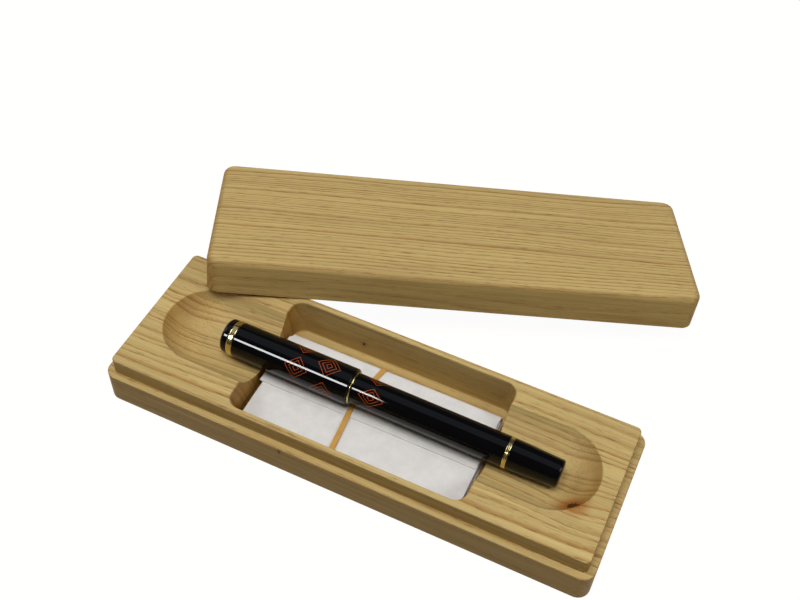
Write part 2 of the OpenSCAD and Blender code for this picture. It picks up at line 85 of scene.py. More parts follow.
# Name, place, the point it faces, the direction of its length, length and width in metres, watts, rays and colour
LAMPS = (
    ("Soft box", (0.0, -0.25, 1.20), (0.0, 0.03, 0.0), (1.0, 0.0, 0.0), (0.6, 0.5), 7.3, LIGHT_ONLY, WHITE),
    ("Right window", (0.75, 0.10, 0.75), (0.0, 0.0, 0.0), (0.0, 1.0, 0.0), (0.5, 0.4), 3.0, BOTH, WHITE),
    ("Left window", (-0.85, 0.0, 0.80), (0.0, 0.0, 0.0), (0.0, 1.0, 0.0), (0.5, 0.4), 2.8, BOTH, WHITE),
    ("Ceiling", (-0.15, 0.25, 1.1), (0.0, 0.0, 0.0), (1.0, 0.0, 0.0), (1.3, 0.9), 1.2, BOTH, (0.8, 0.85, 1.0)),
    ("Tube", (-0.29, -0.483, 0.585), (-0.035, 0.0, 0.02), (1.0, 0.1, 0.0), (0.24, 0.14), 3.0, GLOSS_ONLY,
     (0.97, 0.98, 1.0)),
)


# ---- Where things lie ----

def node_box(name):
    """The lowest and the highest corner of a CAD node."""
    low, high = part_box(name)
    return Vector(low), Vector(high)


def pen_frame():
    """The place of the crown's end and the direction of the pen, read from the joint that draws the barrel off."""
    joint = next(j for j in frame["joints"] if j["name"] == "barrel_draw")
    along = Vector(joint["axis"]).normalized()
    low, high = node_box("barrel_front_ring")
    ring = (low + high) / 2
    start = ring - along * FRONT_RING_AT * MM
    back = Vector((0, 0, 1)).cross(along).normalized()
    up = along.cross(back)
    return Matrix(((along.x, back.x, up.x, start.x), (along.y, back.y, up.y, start.y),
                   (along.z, back.z, up.z, start.z), (0, 0, 0, 1)))


# ---- Sizes and colours that a user would change ----

def colour(hexcode, name, words):
    """A colour setting, shown in the panel."""
    return FloatVectorProperty(name=name, description=words, subtype="COLOR", size=3, min=0, max=1,
                               default=linear(hexcode)[:3])


def linear(hexcode):
    """The linear colour of an sRGB hex value."""
    values = [int(hexcode[i:i + 2], 16) / 255 for i in (1, 3, 5)]
    return [v / 12.92 if v <= 0.04045 else ((v + 0.055) / 1.055) ** 2.4 for v in values] + [1.0]


class WoodSettings(bpy.types.PropertyGroup):
    light: colour("#CEB578", "Light wood", "Colour of the oiled oak between its growth rings")
    dark: colour("#9A621E", "Ring lines", "Colour of the open-pored wood at each growth ring")
    tray_gap: FloatProperty(name="Rings of the tray", description="Millimetres between two growth rings of the tray",
                            default=3.2, min=1.0, max=8.0)
    lid_gap: FloatProperty(name="Rings of the lid", description="Millimetres between two growth rings of the lid",
                           default=2.0, min=1.0, max=8.0)


class PaperSettings(bpy.types.PropertyGroup):
    sleeve: colour("#E6E3DE", "Sleeve", "Colour of the sleeve's paper")
    sheets: colour("#E2E0DC", "Sheets", "Colour of the folded sheets")
    band: colour("#CB9A4C", "Band", "Colour of the elastic band")
    sheet_count: IntProperty(name="Folded sheets", description="Layers of paper inside the sleeve", default=9,
                             min=3, max=20)
    band_width: FloatProperty(name="Band width", description="Width of the elastic band", default=2.2 * MM,
                              min=1 * MM, max=4 * MM, unit="LENGTH")


class PenSettings(bpy.types.PropertyGroup):
    lacquer: colour("#060608", "Lacquer", "Colour of the black lacquer")
    motif: colour("#B4501A", "Motif", "Colour of the drawn lines on cap and barrel")
    gold: colour("#EAD898", "Gold", "Colour of the gold-plated rings and clip")
    line: FloatProperty(name="Motif line", description="Width of the drawn lines", default=0.2 * MM,
                        min=0.1 * MM, max=0.6 * MM, unit="LENGTH")


# ---- Node and mesh helpers ----

def output_of(node):
    """The first output that a node gives with its present settings."""
    return next(output for output in node.outputs if output.enabled)


def put(tree, kind, inputs=(), **settings):
    """Adds a node, sets its settings and fills its inputs, in order or by number or name, from values, sockets or
    nodes."""
    node = tree.nodes.new(kind)
    for key, value in settings.items():
        setattr(node, key, value)
    for key, value in inputs.items() if isinstance(inputs, dict) else enumerate(inputs):
        if isinstance(value, bpy.types.Node):
            value = output_of(value)
        if isinstance(value, bpy.types.NodeSocket):
            tree.links.new(value, node.inputs[key])
        else:
            node.inputs[key].default_value = value
    return node


def new_material(name, **sockets):
    """A material with one Principled shader, whose plain values are set on its own sockets."""
    material = bpy.data.materials.new(name)
    material.use_nodes = True
    shader = material.node_tree.nodes["Principled BSDF"]
    for key, value in sockets.items():
        shader.inputs[key.replace("_", " ")].default_value = value
    return material, material.node_tree, shader


def connect(tree, target, **nodes):
    """Links the first output of each node to the target's input of that name."""
    for key, node in nodes.items():
        tree.links.new(output_of(node), target.inputs[key.replace("_", " ")])


def between(shade, darker, lighter):
    """The two ends that a pattern varies a colour between: shade times darker and shade times lighter."""
    return {6: (*[value * darker for value in shade], 1), 7: (*[min(1, value * lighter) for value in shade], 1)}


def dress(node, material):
    """Gives a CAD node its material."""
    materials = bpy.data.objects[node].data.materials
    materials.clear()
    materials.append(material)


def new_piece(name, mesh, body, replaced, material=None):
    """Adds a mesh as a piece that stands in for the replaced CAD nodes. It keeps its material if none is given."""
    piece = bpy.data.objects.new(name, mesh)
    bpy.context.scene.collection.objects.link(piece)
    if material:
        mesh.materials.clear()
        mesh.materials.append(material)
    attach(piece, body)
    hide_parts(*replaced)


def evaluated_mesh(piece):
    """The plain mesh that a piece's modifiers give. The piece is removed."""
    graph = bpy.context.evaluated_depsgraph_get()
    mesh = bpy.data.meshes.new_from_object(piece.evaluated_get(graph))
    bpy.data.objects.remove(piece)
    return mesh


def new_tree(name, **inputs):
    """A Geometry Nodes tree that gives a mesh, with a named input of each kind, and the sockets of those inputs."""
    tree = bpy.data.node_groups.new(name, "GeometryNodeTree")
    tree.interface.new_socket("Geometry", in_out="OUTPUT", socket_type="NodeSocketGeometry")
    for key, kind in inputs.items():
        tree.interface.new_socket(key, in_out="INPUT", socket_type="NodeSocket" + kind)
    return tree, put(tree, "NodeGroupInput").outputs


def finish_tree(tree, mesh, material):
    """Ends a tree in Realize Instances and Set Material."""
    real = put(tree, "GeometryNodeRealizeInstances", (mesh,))
    done = put(tree, "GeometryNodeSetMaterial", {"Geometry": real, "Material": material})
    put(tree, "NodeGroupOutput", (done,))


def run_tree(tree, values):
    """The mesh that a Geometry Nodes tree gives with these inputs."""
    holder = bpy.data.objects.new("Holder", bpy.data.meshes.new("Holder"))
    bpy.context.scene.collection.objects.link(holder)
    modifier = holder.modifiers.new("Nodes", "NODES")
    modifier.node_group = tree
    for item in tree.interface.items_tree:
        if item.in_out == "INPUT" and item.name in values:
            modifier[item.identifier] = values[item.name]
    return evaluated_mesh(holder)


def sharpen(mesh, angle):
    """Smooth faces, with the edges over the angle in degrees kept sharp."""
    work = bmesh.new()
    work.from_mesh(mesh)
    bmesh.ops.recalc_face_normals(work, faces=work.faces)
    for face in work.faces:
        face.smooth = True
    for edge in work.edges:
        if len(edge.link_faces) == 2:
            edge.smooth = edge.calc_face_angle(0) < radians(angle)
    work.to_mesh(mesh)
    work.free()
    return mesh


# ---- Turned pieces of the pen ----

def rounded(outline, default=0.12):
    """A closed outline of (place, radius[, rounding]) in millimetres, with its corners rounded."""
    nearly_straight = 3.0  # radians
    points = []
    for i, corner in enumerate(outline):
        here = Vector(corner[:2])
        size = corner[2] if len(corner) > 2 else default
        before = Vector(outline[i - 1][:2]) - here
        after = Vector(outline[(i + 1) % len(outline)][:2]) - here
        angle = before.angle(after)
        if size <= 0 or angle > nearly_straight:
            points.append(here)
            continue
        reach = min(size / max(0.2, tan(angle / 2)), before.length * 0.48, after.length * 0.48)
        a = here + before.normalized() * reach
        b = here + after.normalized() * reach
        steps = 3 if size < 0.4 else 7
        for k in range(steps + 1):
            t = k / steps
            points.append(a * (1 - t) ** 2 + here * 2 * t * (1 - t) + b * t ** 2)
    # rows close to both ends of a long face keep its shading straight
    guard = 0.15
    guarded = []
    for a, b in zip(points, points[1:] + points[:1]):
        guarded.append(a)
        length = (b - a).length
        if length > 1.0:
            guarded += [a.lerp(b, guard / length), a.lerp(b, 1 - guard / length)]
    return guarded


def turned(name, outline, body, material, replaced):
    """A piece turned on the pen's axis from a closed outline of (place, radius), with a UV map round and along it."""
    points = rounded(outline)
    place = pen_frame()
    work = bmesh.new()
    uv = work.loops.layers.uv.new("UVMap")
    rows = []
    for point in points:
        if point.y < 1e-4:
            rows.append([work.verts.new(place @ Vector((point.x * MM, 0, 0)))])
            continue
        row = []
        for k in range(TURNED_SIDES):
            angle = 2 * pi * k / TURNED_SIDES
            row.append(work.verts.new(place @ (Vector((point.x, point.y * cos(angle), point.y * sin(angle))) * MM)))
        rows.append(row)
    for i, row in enumerate(rows):
        after = (i + 1) % len(rows)
        other = rows[after]
        x0, x1 = points[i].x * MM, points[after].x * MM
        if len(row) == 1 and len(other) == 1:
            continue
        for k in range(TURNED_SIDES):
            j = (k + 1) % TURNED_SIDES
            corners = [(row[k % len(row)], x0, k), (other[k % len(other)], x1, k),
                       (other[j % len(other)], x1, k + 1), (row[j % len(row)], x0, k + 1)]
            # a row on the axis is one vertex, so the faces next to it are triangles
            unique = []
            for corner in corners:
                if corner[0] not in [kept[0] for kept in unique]:
                    unique.append(corner)
            face = work.faces.new([kept[0] for kept in unique])
            for loop, (_, x, n) in zip(face.loops, unique):
                loop[uv].uv = (x, n / TURNED_SIDES)
    mesh = bpy.data.meshes.new(name)
    bmesh.ops.recalc_face_normals(work, faces=work.faces)
    work.to_mesh(mesh)
    work.free()
    new_piece(name, sharpen(mesh, 32), body, replaced, material)


# ---- Materials ----

def oak(name, place, pith, gap, seed, knots=()):
    """Oiled oak, planed and sanded: straight rings with open pores at their starts, darker where end grain shows,
    partly for its oil and partly as painted shade, and with painted shade on the faces to the front and back.
    """
    wood = bpy.context.scene.pen_case_wood
    material, tree, shader = new_material(name, Roughness=0.5, Specular_IOR_Level=0.15)
    where = put(tree, "ShaderNodeTexCoord")
    local = put(tree, "ShaderNodeMapping", (where.outputs["Object"], place.translation, place.to_euler()),
                vector_type="TEXTURE")
    mm = put(tree, "ShaderNodeVectorMath", {0: local, 3: 1000}, operation="SCALE")

    def noise(stretch, offset=(0, 0, 0), **inputs):
        """Noise over the board, with so many marks to a millimetre along each axis."""
        moved = put(tree, "ShaderNodeMapping", {0: mm, 1: offset, 3: stretch})
        return put(tree, "ShaderNodeTexNoise", {0: moved, "Scale": 1.0, **inputs})

    def facing(axis, power):
        """How far the surface faces along an axis of the board, from 0 to 1."""
        share = put(tree, "ShaderNodeVectorMath", (where.outputs["Normal"], place.to_3x3().col[axis]),
                    operation="DOT_PRODUCT")
        share = put(tree, "ShaderNodeMath", (share,), operation="ABSOLUTE")
        return put(tree, "ShaderNodeMath", (share, power), operation="POWER")

    # distance from the pith of the tree, bent over some centimetres, which gives the rings on every face
    away = put(tree, "ShaderNodeVectorMath", (mm, (0, *pith)), operation="SUBTRACT")
    away = put(tree, "ShaderNodeVectorMath", (away, (0, 1, 1)), operation="MULTIPLY")
    span = put(tree, "ShaderNodeVectorMath", (away,), operation="LENGTH")
    bends = ((9.0, noise((0.006, 0.02, 0.02), (seed, seed * 3, 0), Detail=1.0)),
             (1.7, noise((0.03, 0.16, 0.16), (seed * 2, 0, seed), Detail=2.0)),
             (0.4, noise((0.22, 0.6, 0.6), (0, seed, 0), Detail=2.0)))
    for reach, bend in bends:
        bend = put(tree, "ShaderNodeMath", (bend, 0.5), operation="SUBTRACT")
        span = put(tree, "ShaderNodeMath", (bend, reach, span), operation="MULTIPLY_ADD")
    # the rings part round a knot, and its core is dark, with a brown halo
    core, halos = None, []
    for x, y, z, size, push, spread in knots:
        away = put(tree, "ShaderNodeVectorMath", (mm, (x, y, z)), operation="SUBTRACT")
        away = put(tree, "ShaderNodeVectorMath", (away, (0.8, 0.8, 0.45)), operation="MULTIPLY")
        away = put(tree, "ShaderNodeVectorMath", (away,), operation="LENGTH")
        near = put(tree, "ShaderNodeMath", (away, spread), operation="DIVIDE")
        near = put(tree, "ShaderNodeMath", (near, near, 1.0), operation="MULTIPLY_ADD")
        near = put(tree, "ShaderNodeMath", (push, near), operation="DIVIDE")
        span = put(tree, "ShaderNodeMath", (span, near), operation="ADD")
        ragged = put(tree, "ShaderNodeMath", (noise((0.7, 0.8, 0.8), (x, y, z), Detail=2.0), 1.6, 0.2),
                     operation="MULTIPLY_ADD")
        ragged = put(tree, "ShaderNodeMath", (away, ragged), operation="MULTIPLY")
        dot = put(tree, "ShaderNodeMath", (ragged, size), operation="LESS_THAN")
        core = put(tree, "ShaderNodeMath", (core, dot), operation="MAXIMUM") if core else dot
        halos.append(put(tree, "ShaderNodeMapRange", (away, size * 0.8, size * 4.0 + 0.1, min(0.85, size), 0.0),
                         interpolation_type="SMOOTHSTEP"))
    # rings of uneven width, each with a strength of its own, dark at the start and fading outwards
    uneven = put(tree, "ShaderNodeTexNoise", {"W": span, "Scale": 0.13, "Detail": 1.0}, noise_dimensions="1D")
    rings = put(tree, "ShaderNodeMath", (span, gap), operation="DIVIDE")
    rings = put(tree, "ShaderNodeMath", (uneven, 2.2, rings), operation="MULTIPLY_ADD")
    number = put(tree, "ShaderNodeMath", (rings,), operation="FLOOR")
    strength = put(tree, "ShaderNodeTexWhiteNoise", {"W": number}, noise_dimensions="1D")
    line = put(tree, "ShaderNodeValToRGB", (put(tree, "ShaderNodeMath", (rings,), operation="FRACT"),))
    fading = ((0.0, 0.1), (0.12, 1.0), (0.30, 0.6), (0.55, 0.12), (0.97, 0.0))
    stops = line.color_ramp.elements
    while len(stops) < len(fading):
        stops.new(0.5)
    for stop, (position, grey) in zip(stops, fading):
        stop.position = position
        stop.color = (grey, grey, grey, 1)
    # fibres 0.3 mm wide, drifts of colour some millimetres wide, and pores 0.2 mm wide and 2 to 6 mm long
    fibre = noise((0.022, 2.4, 2.4), Detail=4.0, Roughness=0.65)
    drift = noise((0.012, 0.2, 0.2), (0, 7, seed), Detail=3.0)
    pore = noise((0.20, 3.2, 3.2), (0, 0, seed), Detail=1.0, Roughness=0.4)
    pore = put(tree, "ShaderNodeMath", (line, 0.13, pore), operation="MULTIPLY_ADD")
    pore = put(tree, "ShaderNodeMapRange", (pore, 0.66, 0.76))
    # pores are cut across in the end grain, and on the sides the rings lie nearly flat in the surface, so that they
    # show faintly there and the fibres show more
    end = facing(0, 1.6)
    side = facing(1, 2.0)
    pore_share = put(tree, "ShaderNodeMath", (end, -0.8, 1.0), operation="MULTIPLY_ADD")
    pore = put(tree, "ShaderNodeMath", (pore, pore_share), operation="MULTIPLY")
    strength = put(tree, "ShaderNodeMath", (strength, 0.45, 0.35), operation="MULTIPLY_ADD")
    line_share = put(tree, "ShaderNodeMath", (side, -0.65, 1.0), operation="MULTIPLY_ADD")
    lines = put(tree, "ShaderNodeMath", (line, strength), operation="MULTIPLY")
    lines = put(tree, "ShaderNodeMath", (lines, line_share), operation="MULTIPLY")
    streaks = put(tree, "ShaderNodeMapRange", (fibre, 0.45, 0.70))
    streak_share = put(tree, "ShaderNodeMath", (side, 0.3, 0.5), operation="MULTIPLY_ADD")
    streaks = put(tree, "ShaderNodeMath", (streaks, streak_share), operation="MULTIPLY")
    pore_share = put(tree, "ShaderNodeMath", (side, -0.2, 0.5), operation="MULTIPLY_ADD")
    pores = put(tree, "ShaderNodeMath", (pore, pore_share), operation="MULTIPLY")
    # the colour, in layers: drifts, rings, fibres and pores, then painted shade on the faces to the front and back,
    # end grain darker partly for the oil it takes up and partly as painted shade, and knots
    light, dark = Vector(wood.light), Vector(wood.dark)
    shade = put(tree, "ShaderNodeMix", {0: put(tree, "ShaderNodeMapRange", (drift, 0.3, 0.7)), 6: (*light * 0.92, 1),
                                        7: (*light * 1.10, 1)}, data_type="RGBA")
    layers = [(lines, dark, "MIX"), (streaks, light * 0.35 + dark * 0.5, "MIX"), (pores, dark * 0.5, "MIX"),
              # side: painted shade, a warm darkening of the faces to the front and back; end: end grain darkened
              # partly for its oil, partly as painted shade
              (side, (0.96, 0.92, 0.84), "MULTIPLY"), (end, (0.68, 0.51, 0.29), "MULTIPLY")]
    layers += [(halo, (dark.x, dark.y * 0.75, dark.z * 0.5), "MIX") for halo in halos]
    if core:
        layers.append((put(tree, "ShaderNodeMath", (core, 0.9), operation="MULTIPLY"), dark * 0.12, "MIX"))
    for amount, colour_over, blend in layers:
        shade = put(tree, "ShaderNodeMix", {0: amount, 6: shade, 7: (*colour_over, 1)}, data_type="RGBA",
                    blend_type=blend)
    rough = put(tree, "ShaderNodeMath", (fibre, 0.18, 0.42), operation="MULTIPLY_ADD")
    height = put(tree, "ShaderNodeMath", (fibre, 0.35), operation="MULTIPLY")
    height = put(tree, "ShaderNodeMath", (pore, -0.6, height), operation="MULTIPLY_ADD")
    relief = put(tree, "ShaderNodeBump", {"Strength": 0.35, "Distance": 0.08 * MM, "Height": height})
    connect(tree, shader, Base_Color=shade, Roughness=rough, Normal=relief)
    return material


def paper(name, shade, flecks):
    """Uncoated laid paper: matte, with a faint cloudy formation some millimetres across."""
    material, tree, shader = new_material(name, Roughness=0.85, Specular_IOR_Level=0.25)
    where = put(tree, "ShaderNodeTexCoord").outputs["Object"]
    cloud = put(tree, "ShaderNodeTexNoise", {0: where, "Scale": 200.0, "Detail": 5.0, "Roughness": 0.65})
    tone = put(tree, "ShaderNodeMix", {0: cloud, **between(shade, 1 - 2 * flecks, 1 + flecks)}, data_type="RGBA")
    felt = put(tree, "ShaderNodeTexNoise", {0: where, "Scale": 1600.0, "Detail": 2.0})
    relief = put(tree, "ShaderNodeBump", {"Strength": 0.15, "Distance": 0.05 * MM, "Height": felt})
    connect(tree, shader, Base_Color=tone, Normal=relief)
    return material


def rubber_band():
    """Natural rubber, cut from a tube: a dull sheen and fine cut marks along its edge."""
    material, tree, shader = new_material("Rubber band", Roughness=0.55)
    where = put(tree, "ShaderNodeTexCoord").outputs["Object"]
    stretched = put(tree, "ShaderNodeMapping", {0: where, 3: (2600, 240, 900)})
    cut = put(tree, "ShaderNodeTexNoise", {0: stretched, "Scale": 1.0, "Detail": 2.0})
    shade = bpy.context.scene.pen_case_papers.band
    tone = put(tree, "ShaderNodeMix", {0: cut, **between(shade, 0.82, 1.12)}, data_type="RGBA")
    relief = put(tree, "ShaderNodeBump", {"Strength": 0.3, "Distance": 0.05 * MM, "Height": cut})
    connect(tree, shader, Base_Color=tone, Normal=relief)
    return material


def black_lacquer(name, motif=None):
    """Lacquer polished with charcoal: deep black and mirror-smooth, with the faintest waves from the polishing."""
    pen = bpy.context.scene.pen_case_pen
    black = (*pen.lacquer, 1)
    material, tree, shader = new_material(name, Roughness=0.03, IOR=1.38, Base_Color=black)
    where = put(tree, "ShaderNodeTexCoord")
    wave = put(tree, "ShaderNodeTexNoise", {0: where.outputs["Object"], "Scale": 70.0, "Detail": 1.0})
    relief = put(tree, "ShaderNodeBump", {"Strength": 0.05, "Distance": 0.1 * MM, "Height": wave})
    connect(tree, shader, Normal=relief)
    if motif:
        marks = lozenges(tree, where.outputs["UV"], pen.line, **motif)
        drawn = put(tree, "ShaderNodeMix", {0: marks, 6: black, 7: (*pen.motif, 1)}, data_type="RGBA")
        connect(tree, shader, Base_Color=drawn)
    return material


def lozenges(tree, uv, line, start, end, rows, radius):
    """Nested lozenges in staggered rows round the pen, in drawn lines: a common geometric border."""
    cells, nests = 4, 3
    length = (end - start) / rows
    grid = put(tree, "ShaderNodeMapping", {0: uv, 1: (-start / length, 0, 0), 3: (1 / length, cells, 1)})
    along, around, _ = put(tree, "ShaderNodeSeparateXYZ", (grid,)).outputs
    row = put(tree, "ShaderNodeMath", (along,), operation="FLOOR")
    around = put(tree, "ShaderNodeMath", (row, 0.5, around), operation="MULTIPLY_ADD")
    # reach is 0 in the middle of a lozenge and 1 at its edge
    along = put(tree, "ShaderNodeMath", (along, 0.5), operation="PINGPONG")
    around = put(tree, "ShaderNodeMath", (around, 0.5), operation="PINGPONG")
    reach = put(tree, "ShaderNodeMath", (along, around), operation="ADD")
    reach = put(tree, "ShaderNodeMath", (reach, -2.0, 2.0), operation="MULTIPLY_ADD")
    # one line to each step outwards, as wide as the setting says
    cell = 2 * pi * radius / cells
    step = 1 / (nests + 0.5) / sqrt((2 / cell) ** 2 + (2 / length) ** 2)
    ring = put(tree, "ShaderNodeMath", (reach, nests + 0.5), operation="MULTIPLY")
    ring = put(tree, "ShaderNodeMath", (ring,), operation="FRACT")
    ink = put(tree, "ShaderNodeMath", (ring, 0.75, line / step / 2), operation="COMPARE")
    inside = put(tree, "ShaderNodeMath", (reach, 1.0), operation="LESS_THAN")
    in_rows = put(tree, "ShaderNodeMath", (row, (rows - 1) / 2, rows / 2 - 0.25), operation="COMPARE")
    ink = put(tree, "ShaderNodeMath", (ink, inside), operation="MULTIPLY")
    return put(tree, "ShaderNodeMath", (ink, in_rows), operation="MULTIPLY")


def uneven_gloss(tree, shader, pitch, detail, smoothest, spread):
    """Varies the roughness over marks that lie pitch millimetres apart, and gives back their pattern."""
    where = put(tree, "ShaderNodeTexCoord").outputs["Object"]
    marks = put(tree, "ShaderNodeTexNoise", {0: where, "Scale": 1000 / pitch, "Detail": detail})
    rough = put(tree, "ShaderNodeMath", (marks, spread, smoothest), operation="MULTIPLY_ADD")
    connect(tree, shader, Roughness=rough)
    return marks


def gold(name, rough):
    """Gold electroplate over turned brass: bright, with fine turning marks that soften the reflection."""
    material, tree, shader = new_material(name, Metallic=1.0, Roughness=rough)
    wear = uneven_gloss(tree, shader, 2.0, 3.0, rough - 0.05, 0.12)
    shade = bpy.context.scene.pen_case_pen.gold
    tone = put(tree, "ShaderNodeMix", {0: wear, **between(shade, 0.88, 1.06)}, data_type="RGBA")
    connect(tree, shader, Base_Color=tone)
    return material


def steel():
    """Steel turned and nickel-plated: bright, with faint turning marks."""
    material, tree, shader = new_material("Nickel-plated steel", Metallic=1.0, Roughness=0.2,
                                          Base_Color=linear("#C9C9C7"))
    uneven_gloss(tree, shader, 1.1, 3.0, 0.12, 0.2)
    return material


def clear_styrene():
    """Clear moulded polystyrene: almost colourless, with the faint haze that the mould leaves."""
    material, tree, shader = new_material("Clear styrene", Roughness=0.06, Transmission_Weight=1.0, IOR=1.58,
                                          Base_Color=linear("#F2F5F6"))
    uneven_gloss(tree, shader, 1.4, 2.0, 0.03, 0.08)
    return material


def plain_plastic(name, hexcode, rough):
    """Injection-moulded plastic, with the fine unevenness of the mould."""
    material, tree, shader = new_material(name, Roughness=rough, Base_Color=linear(hexcode))
    skin = uneven_gloss(tree, shader, 1.1, 2.0, rough - 0.04, 0.08)
    relief = put(tree, "ShaderNodeBump", {"Strength": 0.1, "Distance": 0.03 * MM, "Height": skin})
    connect(tree, shader, Normal=relief)
    return material


# ---- Operators ----

class PENCASE_OT_stage(bpy.types.Operator):
    """Sets up the floor, the lamps and the camera"""
    bl_idname = "pen_case.stage"
    bl_label = "Stage"

    def execute(self, context):
        scene = context.scene
        scene.view_settings.view_transform = "Standard"
        camera = bpy.data.objects.new("Camera", bpy.data.cameras.new("Camera"))
        camera.data.sensor_width = 36
        camera.data.lens = CAMERA_LENS
        camera.data.clip_start = 0.01
        camera.location = CAMERA_PLACE
        camera.rotation_euler = [radians(angle) for angle in CAMERA_TURN]
        scene.collection.objects.link(camera)
        scene.camera = camera
        self.floor(scene)
        self.lamps(scene)
        self.surroundings(scene)
        return {"FINISHED"}

    def surroundings(self, scene):
        """White to the camera and through clear pieces, and a faint light from all sides."""
        scene.world = bpy.data.worlds.new("Studio")
        scene.world.use_nodes = True
        tree = scene.world.node_tree
        background = tree.nodes["Background"]
        background.inputs["Color"].default_value = (*WHITE, 1)
        rays = put(tree, "ShaderNodeLightPath").outputs
        seen = put(tree, "ShaderNodeMath", (rays["Is Camera Ray"], rays["Is Transmission Ray"]), operation="MAXIMUM")
        strength = put(tree, "ShaderNodeMath", (seen, 0.05), operation="ADD")
        connect(tree, background, Strength=strength)

    def floor(self, scene):
        """A board that looks white and takes shadows, but throws little light back, so that undersides stay dark."""
        mesh = bpy.data.meshes.new("Floor")
        work = bmesh.new()
        bmesh.ops.create_grid(work, x_segments=1, y_segments=1, size=3.0)
        work.to_mesh(mesh)
        work.free()
        floor = bpy.data.objects.new("Floor", mesh)
        floor.location.z = -0.1 * MM
        scene.collection.objects.link(floor)
        material, tree, shader = new_material("White board", Roughness=0.9, Specular_IOR_Level=0.1,
                                              Base_Color=linear("#7E6945"))
        rays = put(tree, "ShaderNodeLightPath").outputs
        seen = put(tree, "ShaderNodeMath", (rays["Is Glossy Ray"], rays["Is Transmission Ray"]), operation="MAXIMUM")
        seen = put(tree, "ShaderNodeMath", (rays["Is Camera Ray"], seen), operation="MAXIMUM")
        # what is seen is a little over half glow, and the rest is lit board that shows the shadows
        glow_share, glow_strength = 0.56, 1.72
        glow = put(tree, "ShaderNodeEmission", {"Color": (*WHITE, 1), "Strength": glow_strength})
        share = put(tree, "ShaderNodeMath", (seen, glow_share), operation="MULTIPLY")
        blend = put(tree, "ShaderNodeMixShader", (share, shader, glow))
        connect(tree, tree.nodes["Material Output"], Surface=blend)
        mesh.materials.append(material)

    def lamps(self, scene):
        """Rectangular lamps, each turned to the point it faces."""
        for name, place, aim, along, size, power, (diffuse, glossy), hue in LAMPS:
            lamp = bpy.data.lights.new(name, "AREA")
            lamp.shape = "RECTANGLE"
            lamp.size, lamp.size_y = size
            lamp.energy = power
            lamp.color = hue
            fixture = bpy.data.objects.new(name, lamp)
            back = (Vector(place) - Vector(aim)).normalized()
            side = back.cross(Vector(along)).normalized()
            turn = Matrix((side.cross(back), side, back)).transposed()
            fixture.matrix_world = Matrix.Translation(place) @ turn.to_4x4()
            fixture.visible_diffuse, fixture.visible_glossy = diffuse, glossy
            scene.collection.objects.link(fixture)


class PENCASE_OT_case(bpy.types.Operator):
    """Finishes the tray and the lid in oak, each from its own board"""
    bl_idname = "pen_case.case"
    bl_label = "Tray and lid"

    def execute(self, context):
        settings = context.scene.pen_case_wood
        dress("tray", oak("Oiled oak tray", Matrix.Identity(4), TRAY_PITH, settings.tray_gap, 3.0, TRAY_KNOTS))
        leaning = (Matrix.Translation(LID_EDGE) @ Matrix.Rotation(-LID_TILT, 4, "X")
                   @ Matrix.Translation((0, LID_REACH, 0)) @ Matrix.Rotation(LID_TURN, 4, "Z"))
        dress("lid", oak("Oiled oak lid", leaning, LID_PITH, settings.lid_gap, 11.0))
        return {"FINISHED"}


